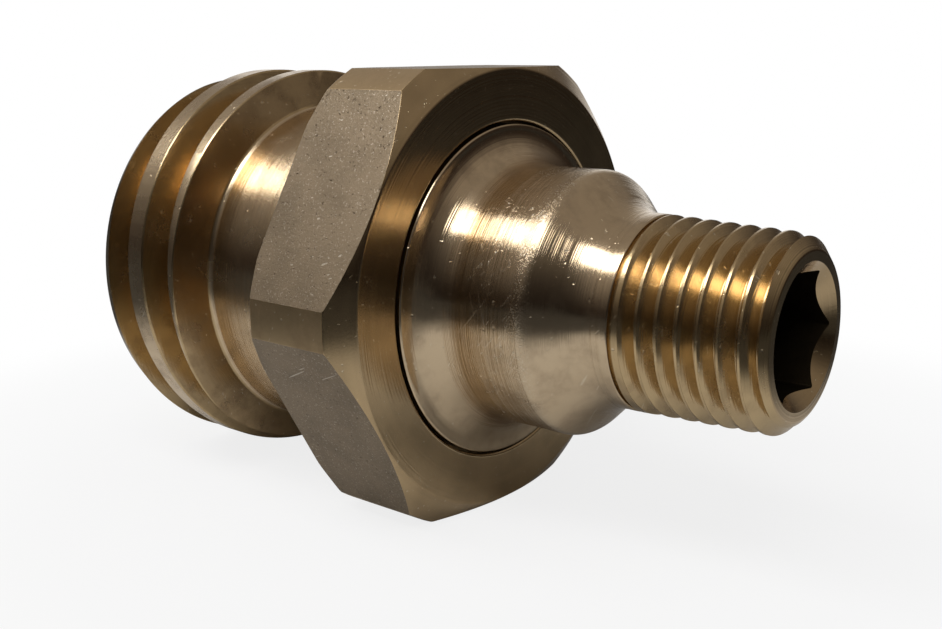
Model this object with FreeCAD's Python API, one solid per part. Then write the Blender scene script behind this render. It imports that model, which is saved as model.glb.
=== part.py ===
import FreeCAD, Part
import math
import os

# Propane adapter fitting, in millimetres.
# The axis of the fitting runs along X, with the pipe thread at +X and the mouth at -X.
# The part lies on the lower flat of its hexagon at Z = 0, and its origin is under the middle of its length.
# Stations along the axis are measured from the front face of the hexagon, positive towards the pipe thread.

# Fitting body: hexagon and neck
HEX_ACROSS_FLATS = 33.34
HEX_LENGTH = 9.2
HEX_CORNER_RADIUS = 18.5
HEX_FRONT_CHAMFER = 1.28
HEX_BACK_CHAMFER = 0.75
HEX_FRONT_RING_RADIUS = 16.6
HEX_BACK_RING_RADIUS = 17.4
NECK_RADIUS = 13.3
NECK_LENGTH = 10.0

# Fitting body: coarse trapezoidal thread, right-handed, five threads to the inch
THREAD_MAJOR_RADIUS = 16.3
THREAD_LENGTH = 10.85
THREAD_PITCH = 5.08
THREAD_GROOVE_AT_CREST = 3.25
THREAD_DEPTH = 2.8
THREAD_FLANK_ANGLE = 14.5
THREAD_GROOVE_FROM_END = 2.71
THREAD_END_CHAMFER = 2.0
THREAD_END_CHAMFER_DEPTH = 0.75
THREAD_SHOULDER = 0.9

# Fitting body: bores, from the mouth inwards
MOUTH_RADIUS = 8.0
MOUTH_DEPTH = 8.1
MOUTH_CHAMFER = 0.8
THROAT_RADIUS = 4.6
THROAT_LENGTH = 1.5
SEAT_HEIGHT = 3.0
GUIDE_POCKET_CLEARANCE = 0.1
JOINT_CLEARANCE = 0.05
DOME_GAP = 0.23
EDGE_BREAK = 0.2

# End connector: flange and dome, barrel, rounded shoulder down to the pipe thread
FLANGE_RADIUS = 12.57
FLANGE_SEAT_DEPTH = 1.6
FLANGE_EDGE_SETBACK = 0.1
DOME_EDGE_RADIUS = 1.6
DOME_FILLET_RADIUS = 1.9
BARREL_RADIUS = 9.65
BARREL_END = 7.64
SHOULDER_SLOPE = 45.0
SHOULDER_ROUNDING = 1.0
SHOULDER_FILLET = 3.4

# End connector: tapered pipe thread, eighteen threads to the inch, taper one in sixteen
PIPE_THREAD_PITCH = 25.4 / 18
PIPE_THREAD_DEPTH = 1.02
PIPE_THREAD_START = 13.05
PIPE_THREAD_LENGTH = 10.65
PIPE_THREAD_END_RADIUS = 6.6
PIPE_THREAD_TAPER = 1 / 16
PIPE_THREAD_FLANK_ANGLE = 30.0
PIPE_ROOT_FLAT = 0.05
PIPE_THREAD_TURN = 73.5
PIPE_THREAD_RUN_OUT = 0.7
PIPE_RELIEF_WIDTH = 0.35
PIPE_RELIEF_DEPTH = 0.35
PIPE_END_CHAMFER = 0.8
PIPE_END_FACE_RADIUS = 5.6

# End connector: Allen socket, passage and threaded shank
SOCKET_ACROSS_FLATS = 7.94
SOCKET_DEPTH = 8.0
SOCKET_COUNTERSINK_RADIUS = 4.9
PASSAGE_RADIUS = 3.2
SHANK_RADIUS = 10.0
SHANK_LENGTH = 7.0
SHANK_CUP_DEPTH = 3.0

# Seals
SEAL_GROOVE_RADIUS = 9.2
SEAL_WIDTH = 1.55
SEAL_CLEARANCE = 0.02
SEAL_SIDES = 12
POPPET_SEAL_TUBE_RADIUS = 0.8
POPPET_SEAL_GAP = 0.04

# Poppet, guide and spring
POPPET_TRAVEL = 3.0
POPPET_HEAD_RADIUS = 6.7
POPPET_SEAT_GAP = 0.15
POPPET_HEAD_RIM = 1.0
POPPET_NOSE_RADIUS = 2.2
POPPET_NOSE_LENGTH = 0.9
POPPET_NOSE_SETBACK = 0.2
SPRING_BOSS_RADIUS = 2.8
STEM_RADIUS = 1.75
STEM_TAIL = 1.0
STEM_RUNNING_CLEARANCE = 0.05
GUIDE_THICKNESS = 1.6
GUIDE_RIM_WIDTH = 1.9
GUIDE_HUB_RADIUS = 4.2
GUIDE_SPOKE_WIDTH = 1.6
GUIDE_SPOKES = 3
SPRING_WIRE_RADIUS = 0.25
SPRING_WIRE_SIDES = 8
SPRING_MEAN_RADIUS = 3.4
SPRING_TURNS = 6
SPRING_END_GAP = 0.05

# Lengths and stations that follow from the sizes above
BODY_LENGTH = HEX_LENGTH + NECK_LENGTH + THREAD_LENGTH
CONNECTOR_REACH = PIPE_THREAD_START + PIPE_THREAD_LENGTH
FRONT_FACE_X = (BODY_LENGTH - CONNECTOR_REACH) / 2
AXIS_HEIGHT = HEX_ACROSS_FLATS / 2

HEX_BACK = -HEX_LENGTH
SHOULDER_FOOT = HEX_BACK - NECK_LENGTH
MOUTH_FACE = -BODY_LENGTH
MOUTH_BOTTOM = MOUTH_FACE + MOUTH_DEPTH
SEAT_START = MOUTH_BOTTOM + THROAT_LENGTH
SEAT_END = SEAT_START + SEAT_HEIGHT
CHAMBER_RADIUS = THROAT_RADIUS + SEAT_HEIGHT
FLANGE_BACK = -FLANGE_SEAT_DEPTH
SEAL_BACK = FLANGE_BACK - SEAL_WIDTH
SHANK_END = FLANGE_BACK - SHANK_LENGTH
GUIDE_FRONT = SHANK_END - GUIDE_THICKNESS
GUIDE_RADIUS = CHAMBER_RADIUS + GUIDE_RIM_WIDTH
HEAD_BACK = SEAT_END
BOSS_END = GUIDE_FRONT - POPPET_TRAVEL
SOCKET_BOTTOM = CONNECTOR_REACH - SOCKET_DEPTH
OUTSIDE = 1.0


def point(station, radius, angle=0.0):
    """A point at a station and a radius, turned about the axis from +Y towards +Z."""
    turn = math.radians(angle)
    return FreeCAD.Vector(FRONT_FACE_X + station, radius * math.cos(turn), radius * math.sin(turn))


def outline(*corners):
    """Straight edges from corner to corner, each given as a station and a radius."""
    ends = [point(*corner) for corner in corners]
    return [Part.makeLine(a, b) for a, b in zip(ends, ends[1:])]


def round_edge(station, radius, arc_radius, start, end):
    """An arc about a station and a radius, between two angles from the axis direction."""
    places = []
    for angle in (start, (start + end) / 2, end):
        turn = math.radians(angle)
        places.append(point(station + arc_radius * math.cos(turn), radius + arc_radius * math.sin(turn)))
    return [Part.Arc(*places).toShape()]


def turned(edges):
    """The solid that a closed outline leaves when it is turned about the axis."""
    face = Part.Face(Part.Wire(edges))
    return face.revolve(FreeCAD.Vector(0, 0, 0), FreeCAD.Vector(1, 0, 0), 360)


def turned_polygon(*corners):
    """A turned solid with a straight-sided outline, closed back to its first corner."""
    return turned(outline(*corners, corners[0]))


def ring(station, mean_radius, tube):
    """A ring around the axis, with a many-sided section close to round."""
    corners = []
    for side in range(SEAL_SIDES):
        turn = 2 * math.pi * side / SEAL_SIDES
        corners.append((station + tube * math.cos(turn), mean_radius + tube * math.sin(turn)))
    return turned_polygon(*corners)


def hexagon(across_flats, start, end):
    """A hexagonal bar along the axis, with corners towards +Y and -Y."""
    corner = across_flats / math.sqrt(3)
    ring = Part.makePolygon([point(start, corner, 60 * side) for side in range(7)])
    return Part.Face(ring).extrude(FreeCAD.Vector(end - start, 0, 0))


def swept(path, section):
    """A solid swept along a helix, with the section kept in a plane through the helix's axis."""
    sweep = Part.BRepOffsetAPI.MakePipeShell(path)
    sweep.setBiNormalMode(FreeCAD.Vector(0, 0, 1))
    sweep.add(section)
    sweep.build()
    sweep.makeSolid()
    return sweep.shape()


def along_x(shape, station, turn=0.0, towards=1):
    """Lays a shape built about Z along the axis, from a station towards +X or -X."""
    laid = shape.copy()
    laid.rotate(FreeCAD.Vector(0, 0, 0), FreeCAD.Vector(0, 0, 1), turn)
    laid.rotate(FreeCAD.Vector(0, 0, 0), FreeCAD.Vector(0, 1, 0), 90 * towards)
    laid.translate(FreeCAD.Vector(FRONT_FACE_X + station, 0, 0))
    return laid


def groove_section(root_radius, depth, width_at_crest, flank_angle, beyond):
    """A thread groove's section at the start of a helix about Z, reaching beyond the crest."""
    flank = math.tan(math.radians(flank_angle))
    root = width_at_crest / 2 - depth * flank
    top = width_at_crest / 2 + beyond * flank
    outer = root_radius + depth + beyond
    places = [(root_radius, -root), (root_radius, root), (outer, top), (outer, -top), (root_radius, -root)]
    return Part.makePolygon([FreeCAD.Vector(radius, 0, height) for radius, height in places])


def coarse_thread_groove():
    """The coarse thread's groove, from off the end face to where it runs out over the neck."""
    root_radius = THREAD_MAJOR_RADIUS - THREAD_DEPTH
    section = groove_section(root_radius, THREAD_DEPTH, THREAD_GROOVE_AT_CREST, THREAD_FLANK_ANGLE, OUTSIDE)
    start = MOUTH_FACE + THREAD_GROOVE_FROM_END - 1.75 * THREAD_PITCH
    finish = SHOULDER_FOOT + THREAD_GROOVE_AT_CREST
    return along_x(swept(Part.makeLongHelix(THREAD_PITCH, finish - start, root_radius), section), start)


def fitting_body():
    """Hexagon, neck and coarse thread in one turned piece, with the mouth, throat, seat and counterbore."""
    bar = hexagon(HEX_ACROSS_FLATS, HEX_BACK, 0)
    chamfered = turned_polygon(
        (HEX_BACK, 0),
        (HEX_BACK, HEX_BACK_RING_RADIUS),
        (HEX_BACK + HEX_BACK_CHAMFER, HEX_CORNER_RADIUS),
        (-HEX_FRONT_CHAMFER, HEX_CORNER_RADIUS),
        (0, HEX_FRONT_RING_RADIUS),
        (0, 0),
    )
    barrel = turned_polygon(
        (HEX_BACK + OUTSIDE, 0),
        (HEX_BACK + OUTSIDE, NECK_RADIUS),
        (SHOULDER_FOOT, NECK_RADIUS),
        (SHOULDER_FOOT - THREAD_SHOULDER, THREAD_MAJOR_RADIUS),
        (MOUTH_FACE + THREAD_END_CHAMFER, THREAD_MAJOR_RADIUS),
        (MOUTH_FACE, THREAD_MAJOR_RADIUS - THREAD_END_CHAMFER_DEPTH),
        (MOUTH_FACE, 0),
    )
    hole = FLANGE_RADIUS + DOME_GAP
    seal_bore = SEAL_GROOVE_RADIUS + SEAL_WIDTH
    thread_bore = SHANK_RADIUS + JOINT_CLEARANCE
    pocket = GUIDE_RADIUS + GUIDE_POCKET_CLEARANCE
    bores = turned_polygon(
        (OUTSIDE, 0),
        (OUTSIDE, hole + EDGE_BREAK + OUTSIDE),
        (-EDGE_BREAK, hole),
        (FLANGE_BACK, hole),
        (FLANGE_BACK, seal_bore),
        (SEAL_BACK, seal_bore),
        (SEAL_BACK, thread_bore),
        (SHANK_END, thread_bore),
        (SHANK_END, pocket),
        (GUIDE_FRONT, pocket),
        (GUIDE_FRONT, CHAMBER_RADIUS),
        (SEAT_END, CHAMBER_RADIUS),
        (SEAT_START, THROAT_RADIUS),
        (MOUTH_BOTTOM, THROAT_RADIUS),
        (MOUTH_BOTTOM, MOUTH_RADIUS),
        (MOUTH_FACE + MOUTH_CHAMFER, MOUTH_RADIUS),
        (MOUTH_FACE - OUTSIDE, MOUTH_RADIUS + MOUTH_CHAMFER + OUTSIDE),
        (MOUTH_FACE - OUTSIDE, 0),
    )
    return bar.common(chamfered).fuse(barrel).cut(bores).cut(coarse_thread_groove())


def pipe_crest_radius(station):
    """The tapered pipe thread's crest radius at a station."""
    return PIPE_THREAD_END_RADIUS + (CONNECTOR_REACH - station) * PIPE_THREAD_TAPER / 2


def pipe_thread_groove():
    """The tapered pipe thread's groove, from beyond the end face back to its end beside the shoulder."""
    root_radius = pipe_crest_radius(CONNECTOR_REACH + PIPE_THREAD_PITCH) - PIPE_THREAD_DEPTH
    flank = math.tan(math.radians(PIPE_THREAD_FLANK_ANGLE))
    width = 2 * PIPE_THREAD_DEPTH * flank + PIPE_ROOT_FLAT
    beyond = (PIPE_THREAD_PITCH - width) / (4 * flank)
    section = groove_section(root_radius, PIPE_THREAD_DEPTH, width, PIPE_THREAD_FLANK_ANGLE, beyond)
    length = PIPE_THREAD_LENGTH + PIPE_THREAD_PITCH - PIPE_THREAD_RUN_OUT
    taper = math.degrees(math.atan(PIPE_THREAD_TAPER / 2))
    helix = Part.makeLongHelix(PIPE_THREAD_PITCH, length, root_radius, taper)
    return along_x(swept(helix, section), CONNECTOR_REACH + PIPE_THREAD_PITCH, PIPE_THREAD_TURN, -1)


def end_connector():
    """The domed end connector: flange, barrel, shoulder, tapered pipe thread, Allen socket and shank."""
    dome_start = -FLANGE_EDGE_SETBACK
    arcs = DOME_EDGE_RADIUS + DOME_FILLET_RADIUS
    rise = FLANGE_RADIUS - BARREL_RADIUS - arcs
    dome_end = dome_start + math.sqrt(arcs ** 2 - rise ** 2)
    lean = math.degrees(math.asin(-rise / arcs))
    foot_radius = pipe_crest_radius(PIPE_THREAD_START)
    tangents = (SHOULDER_ROUNDING + SHOULDER_FILLET) * math.tan(math.radians(SHOULDER_SLOPE / 2))
    fall = (BARREL_RADIUS - foot_radius) / math.tan(math.radians(SHOULDER_SLOPE))
    shoulder_end = BARREL_END + fall + tangents
    fillet_centre = foot_radius + SHOULDER_FILLET
    relief_end = PIPE_THREAD_START + PIPE_RELIEF_WIDTH
    chamfer_start = CONNECTOR_REACH - PIPE_END_CHAMFER
    edges = outline(
        (SHANK_END, CHAMBER_RADIUS),
        (SHANK_END, SHANK_RADIUS),
        (SEAL_BACK, SHANK_RADIUS),
        (SEAL_BACK, SEAL_GROOVE_RADIUS),
        (FLANGE_BACK, SEAL_GROOVE_RADIUS),
        (FLANGE_BACK, FLANGE_RADIUS),
        (dome_start, FLANGE_RADIUS),
    )
    edges += round_edge(dome_start, FLANGE_RADIUS - DOME_EDGE_RADIUS, DOME_EDGE_RADIUS, 90, lean)
    edges += round_edge(dome_end, BARREL_RADIUS + DOME_FILLET_RADIUS, DOME_FILLET_RADIUS, 180 + lean, 270)
    edges += outline((dome_end, BARREL_RADIUS), (BARREL_END, BARREL_RADIUS))
    rounding_end = 90 - SHOULDER_SLOPE
    [crown] = round_edge(BARREL_END, BARREL_RADIUS - SHOULDER_ROUNDING, SHOULDER_ROUNDING, 90, rounding_end)
    [fillet] = round_edge(shoulder_end, fillet_centre, SHOULDER_FILLET, 180 + rounding_end, 270)
    slope = Part.makeLine(crown.valueAt(crown.LastParameter), fillet.valueAt(fillet.FirstParameter))
    edges += [crown, slope, fillet]
    edges += outline(
        (shoulder_end, foot_radius),
        (PIPE_THREAD_START, foot_radius),
        (PIPE_THREAD_START, foot_radius - PIPE_RELIEF_DEPTH),
        (relief_end, foot_radius - PIPE_RELIEF_DEPTH),
        (relief_end, pipe_crest_radius(relief_end)),
        (chamfer_start, pipe_crest_radius(chamfer_start)),
        (CONNECTOR_REACH, PIPE_END_FACE_RADIUS),
        (CONNECTOR_REACH, PASSAGE_RADIUS),
        (SHANK_END + SHANK_CUP_DEPTH + CHAMBER_RADIUS - PASSAGE_RADIUS, PASSAGE_RADIUS),
        (SHANK_END + SHANK_CUP_DEPTH, CHAMBER_RADIUS),
        (SHANK_END, CHAMBER_RADIUS),
    )
    connector = turned(edges)
    socket = hexagon(SOCKET_ACROSS_FLATS, SOCKET_BOTTOM, CONNECTOR_REACH + OUTSIDE)
    countersink = turned_polygon(
        (CONNECTOR_REACH - SOCKET_COUNTERSINK_RADIUS, 0),
        (CONNECTOR_REACH + OUTSIDE, SOCKET_COUNTERSINK_RADIUS + OUTSIDE),
        (CONNECTOR_REACH + OUTSIDE, 0),
    )
    return connector.cut(socket).cut(countersink).cut(pipe_thread_groove())


def connector_seal():
    """The rubber ring in the groove behind the end connector's flange."""
    half_width = SEAL_WIDTH / 2
    return ring(FLANGE_BACK - half_width, SEAL_GROOVE_RADIUS + half_width, half_width - SEAL_CLEARANCE)


def poppet_seal_ring(tube):
    """A ring on the middle of the poppet's conical face, a small gap away from the seat."""
    seat_middle = (SEAT_START + SEAT_END) / 2
    inwards = (POPPET_SEAL_TUBE_RADIUS + POPPET_SEAL_GAP) / math.sqrt(2)
    return ring(seat_middle + inwards, THROAT_RADIUS + SEAT_HEIGHT / 2 - inwards, tube)


def poppet_seal():
    """The rubber ring on the poppet."""
    return poppet_seal_ring(POPPET_SEAL_TUBE_RADIUS)


def poppet():
    """The check poppet: nose, conical head with its ring groove, spring boss and guide stem."""
    nose_tip = MOUTH_BOTTOM + POPPET_NOSE_SETBACK
    nose_end = nose_tip + POPPET_NOSE_LENGTH
    offset = POPPET_SEAT_GAP * math.sqrt(2)
    cone_start = THROAT_RADIUS + nose_end - SEAT_START - offset
    cone_end = POPPET_HEAD_RADIUS - THROAT_RADIUS + SEAT_START + offset
    body = turned_polygon(
        (nose_tip, 0),
        (nose_tip, POPPET_NOSE_RADIUS),
        (nose_end, POPPET_NOSE_RADIUS),
        (nose_end, cone_start),
        (cone_end, POPPET_HEAD_RADIUS),
        (HEAD_BACK + POPPET_HEAD_RIM, POPPET_HEAD_RADIUS),
        (HEAD_BACK + POPPET_HEAD_RIM, SPRING_BOSS_RADIUS),
        (BOSS_END, SPRING_BOSS_RADIUS),
        (BOSS_END, STEM_RADIUS),
        (SHANK_END + STEM_TAIL, STEM_RADIUS),
        (SHANK_END + STEM_TAIL, 0),
    )
    return body.cut(poppet_seal_ring(POPPET_SEAL_TUBE_RADIUS + SEAL_CLEARANCE))


def poppet_guide():
    """The guide: a rim, a hub with a running bore for the stem, and spokes with gas windows between."""
    bore = STEM_RADIUS + STEM_RUNNING_CLEARANCE
    rim = turned_polygon(
        (GUIDE_FRONT, CHAMBER_RADIUS),
        (GUIDE_FRONT, GUIDE_RADIUS),
        (SHANK_END, GUIDE_RADIUS),
        (SHANK_END, CHAMBER_RADIUS),
    )
    hub = turned_polygon(
        (GUIDE_FRONT, bore),
        (GUIDE_FRONT, GUIDE_HUB_RADIUS),
        (SHANK_END, GUIDE_HUB_RADIUS),
        (SHANK_END, bore),
    )
    guide = rim.fuse(hub)
    inner = (bore + GUIDE_HUB_RADIUS) / 2
    outer = CHAMBER_RADIUS + GUIDE_RIM_WIDTH / 2
    for spoke in range(GUIDE_SPOKES):
        bar = Part.makeBox(
            GUIDE_THICKNESS,
            GUIDE_SPOKE_WIDTH,
            outer - inner,
            FreeCAD.Vector(FRONT_FACE_X + GUIDE_FRONT, -GUIDE_SPOKE_WIDTH / 2, inner),
        )
        bar.rotate(FreeCAD.Vector(0, 0, 0), FreeCAD.Vector(1, 0, 0), 360 * spoke / GUIDE_SPOKES)
        guide = guide.fuse(bar)
    return guide.removeSplitter()


def valve_spring():
    """The compression spring between the poppet's head and the guide's hub."""
    start = HEAD_BACK + POPPET_HEAD_RIM + SPRING_WIRE_RADIUS + SPRING_END_GAP
    end = GUIDE_FRONT - SPRING_WIRE_RADIUS - SPRING_END_GAP
    helix = Part.makeLongHelix((end - start) / SPRING_TURNS, end - start, SPRING_MEAN_RADIUS)
    corners = []
    for side in range(SPRING_WIRE_SIDES + 1):
        turn = 2 * math.pi * side / SPRING_WIRE_SIDES
        radius = SPRING_MEAN_RADIUS + SPRING_WIRE_RADIUS * math.cos(turn)
        corners.append(FreeCAD.Vector(radius, 0, SPRING_WIRE_RADIUS * math.sin(turn)))
    return along_x(swept(helix, Part.makePolygon(corners)), start)


def main():
    """Writes each piece to its own file, lifted so that the lower flat lies at Z = 0."""
    os.makedirs("parts", exist_ok=True)
    pieces = (fitting_body, end_connector, connector_seal, poppet, poppet_seal, poppet_guide, valve_spring)
    for make_piece in pieces:
        solid = make_piece()
        solid.translate(FreeCAD.Vector(0, 0, AXIS_HEIGHT))
        solid.exportStep("parts/" + make_piece.__name__ + ".step")


main()
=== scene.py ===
import math

import bmesh
import bpy
from bpy.props import FloatProperty, FloatVectorProperty, PointerProperty
from mathutils import Matrix, Quaternion, Vector


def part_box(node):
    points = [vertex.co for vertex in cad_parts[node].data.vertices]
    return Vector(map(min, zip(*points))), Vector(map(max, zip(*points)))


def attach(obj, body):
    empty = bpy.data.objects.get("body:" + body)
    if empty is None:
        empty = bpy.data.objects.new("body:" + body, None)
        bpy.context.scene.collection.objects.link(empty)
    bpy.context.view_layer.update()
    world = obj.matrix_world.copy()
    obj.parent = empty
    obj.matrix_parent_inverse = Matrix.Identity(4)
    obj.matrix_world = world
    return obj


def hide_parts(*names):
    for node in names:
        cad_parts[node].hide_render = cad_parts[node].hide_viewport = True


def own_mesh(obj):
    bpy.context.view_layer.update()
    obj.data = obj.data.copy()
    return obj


bl_info = {
    "name": "Propane adapter fitting",
    "version": (1, 0, 0),
    "blender": (4, 5, 0),
    "location": "3D View > Sidebar > Fitting",
    "description": "A brass gas adapter with a coarse thread, a hexagon and a flanged end connector",
    "category": "Object",
}

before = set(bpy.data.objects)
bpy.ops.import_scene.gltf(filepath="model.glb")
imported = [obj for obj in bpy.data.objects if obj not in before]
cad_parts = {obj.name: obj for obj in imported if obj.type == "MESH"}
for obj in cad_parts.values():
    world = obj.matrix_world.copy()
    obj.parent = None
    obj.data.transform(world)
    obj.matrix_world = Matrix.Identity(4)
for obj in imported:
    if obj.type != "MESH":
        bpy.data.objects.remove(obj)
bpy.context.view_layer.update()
BODY_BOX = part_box("fitting_body")

# Sizes are in metres. Stations along the axis are measured from the hexagon's front face,
# positive towards the pipe thread. Radii are measured from the axis.
MM = 0.001
FRONT_FACE = BODY_BOX[1].x
AXIS_HEIGHT = BODY_BOX[1].z / 2
AXIS = Vector((1, 0, 0))

# Fitting body: hexagon, neck and coarse thread
HEX_BACK = -9.2 * MM
HEX_CORNER = 18.5 * MM
HEX_FRONT_RING = 16.6 * MM
HEX_FRONT_CHAMFER = 1.28 * MM
HEX_BACK_RING = 17.4 * MM
HEX_BACK_CHAMFER = 0.75 * MM
SHOULDER_FOOT = -19.2 * MM
THREAD_SHOULDER = 0.9 * MM
MOUTH_FACE = -30.05 * MM
BODY_CREST = 16.1 * MM
THREAD_END_CHAMFER = 2.0 * MM
THREAD_END_CHAMFER_DEPTH = 0.75 * MM
THREAD_FLANK_ANGLE = 14.5
THREAD_GROOVE_FROM_END = 2.71 * MM
THREAD_EASING = 0.15 * MM

# Fitting body: bores
FRONT_HOLE = 12.8 * MM
MOUTH_DEPTH = 8.1 * MM
MOUTH_CHAMFER = 0.8 * MM
THROAT = 4.6 * MM
THROAT_LENGTH = 1.5 * MM
SEAT_LENGTH = 3.0 * MM
CHAMBER = 7.6 * MM
FLANGE_SEAT = -1.6 * MM
SEAL_BACK = -3.15 * MM
SEAL_BORE = 10.75 * MM
SHANK_END = -8.6 * MM
SHANK = 10.0 * MM
SHANK_CLEARANCE = 0.05 * MM
GUIDE_FRONT = -10.2 * MM
GUIDE_POCKET = 9.6 * MM

# End connector
SEAL_GROOVE = 9.2 * MM
FLANGE_FACE = 0.12 * MM
FLANGE_EDGE = 0.15 * MM
FLANGE_FILLET = 2.55 * MM
BARREL_END = 7.64 * MM
SHOULDER_SLOPE = 45.0
SHOULDER_ROUNDING = 1.0 * MM
SHOULDER_FILLET = 3.4 * MM
PIPE_START = 13.05 * MM
PIPE_END = 23.7 * MM
PIPE_DEPTH = 1.02 * MM
PIPE_FLANK_ANGLE = 30.0
PIPE_ROOT_FLAT = 0.05 * MM
PIPE_TAPER = 1 / 32
PIPE_TURN = 73.5
PIPE_RUN_OUT = 0.7 * MM
PIPE_RELIEF_WIDTH = 0.35 * MM
PIPE_RELIEF_DEPTH = 0.35 * MM
PIPE_END_CHAMFER = 0.8 * MM
PIPE_END_FACE = 5.6 * MM
PIPE_EASING = 0.04 * MM
PIPE_CUTTER_REACH = 0.4
SOCKET_DEPTH = 8.0 * MM
SOCKET_MOUTH = 4.9 * MM
SOCKET_ROUNDING = 0.18 * MM
COUNTERSINK_TIP = 0.3 * MM
POCKET_DEPTH = 3.0 * MM
PASSAGE = 3.2 * MM

# Valve spring
SPRING_WIRE = 0.25 * MM
SPRING_TURNS = 6

# Steps round a turned surface, along arcs and along helices
AROUND = 192
AROUND_COUNTERSINK = 96
AROUND_WIRE = 12
AROUND_FLOOR = 96
EDGE_STEPS = 4
FILLET_STEPS = 18
SHOULDER_STEPS = 14
THREAD_STEPS = 96
SPRING_STEPS = 32

# How far cutters stand out of the work, and how near two corners may be before they merge
CLEAR = 1.0 * MM
TIDY = 0.001 * MM

# Corners where a thread groove eases out on to its crest, as shares of its easing: along, then up
EASING_CORNERS = ((0.12, -0.3), (0.6, 0.05))

# Angles of edges that stay sharp in smooth shading and of those that the flats leave, and the
# softness of the latter as a share of a turned edge's
SHARP_EDGE = 32
FLAT_EDGE = 12
FLAT_SOFTNESS = 0.7
FACE_WEIGHT = 80

# Zones of finish: how far each reaches past an edge or over a face, and in degrees round a corner
HAIR = 0.02 * MM
HOLE_RIM = 0.3 * MM
BORE_REACH = 12.95 * MM
THREAD_REACH = 0.05 * MM
# The end flank's reach marks a zone of painted shade on the coarse thread's last flank
END_FLANK_REACH = 1.8 * MM
CORNER_REACH = 0.2 * MM
CORNER_ANGLE = 5
COUNTERSINK_REACH = 4.0 * MM

# Scratches: their pattern's scale along them, and the softness of their sides
SCRATCH_LENGTHWISE = 0.12
SCRATCH_SOFTNESS = 0.02

# Colours of small marks
SPECK = (0.85, 0.78, 0.66)
FLAT_SCRATCH = (0.9, 0.84, 0.72)
FACE_SCRATCH = (0.9, 0.8, 0.6)
SIDE_SCRATCH = (0.95, 0.86, 0.68)
WORN_CREASE = (0.95, 0.87, 0.72)
WIRE_FILM = (0.40, 0.36, 0.30)
RUBBER_BLOOM = (0.06, 0.06, 0.06)

# Camera: its angles in degrees, its focal length in pixels of the frame, its place in millimetres
# from the centre of the front face, and the horizontal way towards it
SENSOR_WIDTH = 36
FRAME_WIDTH = 942
FOCAL_LENGTH = 1139.073
CAMERA_AZIMUTH = 39.174
CAMERA_ELEVATION = 13.162
CAMERA_ROLL = -0.273
CAMERA_PLACE = (51.537, -68.021, 18.035)
CAMERA_NEAREST = 0.002
CAMERA_FARTHEST = 20
TOWARDS_CAMERA = (0.62, -0.78, 0.0)

# Softbox, floor and surroundings. Each fade, rise and edge is where a smooth step begins and ends:
# a distance from the origin, or how far a direction points up, to the camera or away from it.
SOFTBOX_LENGTH = 0.82
SOFTBOX_WIDTH = 0.17
SOFTBOX_ELEVATION = 63
SOFTBOX_STATION = -0.08
SOFTBOX_DISTANCE = 0.5
FLOOR_RADIUS = 2.0
FLOOR_NEAR = (0.55, 0.55, 0.55)
FLOOR_FAR = (0.05, 0.05, 0.05)
FLOOR_FADE = (0.04, 0.07)
FLOOR_WHITE_NEAR = 0.82
FLOOR_WHITE_FADE = (0.03, 0.07)
WHITE = (1, 1, 1)
BACKDROP_EDGE = (0.80, 0.96)
ROOM_LOW = (0.030, 0.022, 0.018)
ROOM_HIGH = (0.30, 0.27, 0.24)
ROOM_RISE = (0.05, 0.65)
ROOM_FRONT = (0.01, 0.008, 0.007)
ROOM_FRONT_EDGE = (0.3, 0.9)
ROOM_FRONT_SHARE = 0.75


class FittingSizes(bpy.types.PropertyGroup):
    """The sizes of the fitting that a user would change."""

    across_flats: FloatProperty(
        name="Hexagon across flats", description="Distance between opposite flats of the hexagon",
        default=2 * AXIS_HEIGHT, min=0.03, max=0.035, unit="LENGTH")
    neck_radius: FloatProperty(
        name="Neck radius", description="Radius of the plain neck behind the hexagon",
        default=0.0133, min=0.012, max=0.015, unit="LENGTH")
    thread_radius: FloatProperty(
        name="Coarse thread radius", description="Outer radius of the coarse thread",
        default=0.0163, min=0.0155, max=0.0167, unit="LENGTH")
    thread_pitch: FloatProperty(
        name="Coarse thread pitch", description="Advance of the coarse thread in one turn",
        default=0.00508, min=0.004, max=0.006, unit="LENGTH")
    groove_width: FloatProperty(
        name="Coarse groove width", description="Width of the coarse thread's groove at its crest",
        default=0.00325, min=0.0028, max=0.0035, unit="LENGTH")
    groove_depth: FloatProperty(
        name="Coarse groove depth", description="Depth of the coarse thread's groove",
        default=0.0028, min=0.002, max=0.0029, unit="LENGTH")
    mouth_radius: FloatProperty(
        name="Mouth radius", description="Radius of the bore in the coarse thread's end",
        default=0.008, min=0.007, max=0.0095, unit="LENGTH")
    flange_radius: FloatProperty(
        name="Flange radius", description="Outer radius of the end connector's flange",
        default=0.01257, min=0.0122, max=0.0127, unit="LENGTH")
    barrel_radius: FloatProperty(
        name="Barrel radius", description="Radius of the barrel between flange and shoulder",
        default=0.00965, min=0.0093, max=0.01, unit="LENGTH")
    pipe_radius: FloatProperty(
        name="Pipe thread end radius", description="Crest radius of the tapered thread at the end face",
        default=0.0066, min=0.0064, max=0.0068, unit="LENGTH")
    pipe_pitch: FloatProperty(
        name="Pipe thread pitch", description="Advance of the tapered thread in one turn",
        default=0.0254 / 18, min=0.0013, max=0.0015, unit="LENGTH")
    socket_across: FloatProperty(
        name="Socket across flats", description="Distance between opposite walls of the Allen socket",
        default=0.00794, min=0.0075, max=0.0083, unit="LENGTH")
    softness: FloatProperty(
        name="Edge softness", description="Width of the small rounding on turned edges",
        default=0.00012, min=0.00005, max=0.0003, unit="LENGTH")


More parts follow.
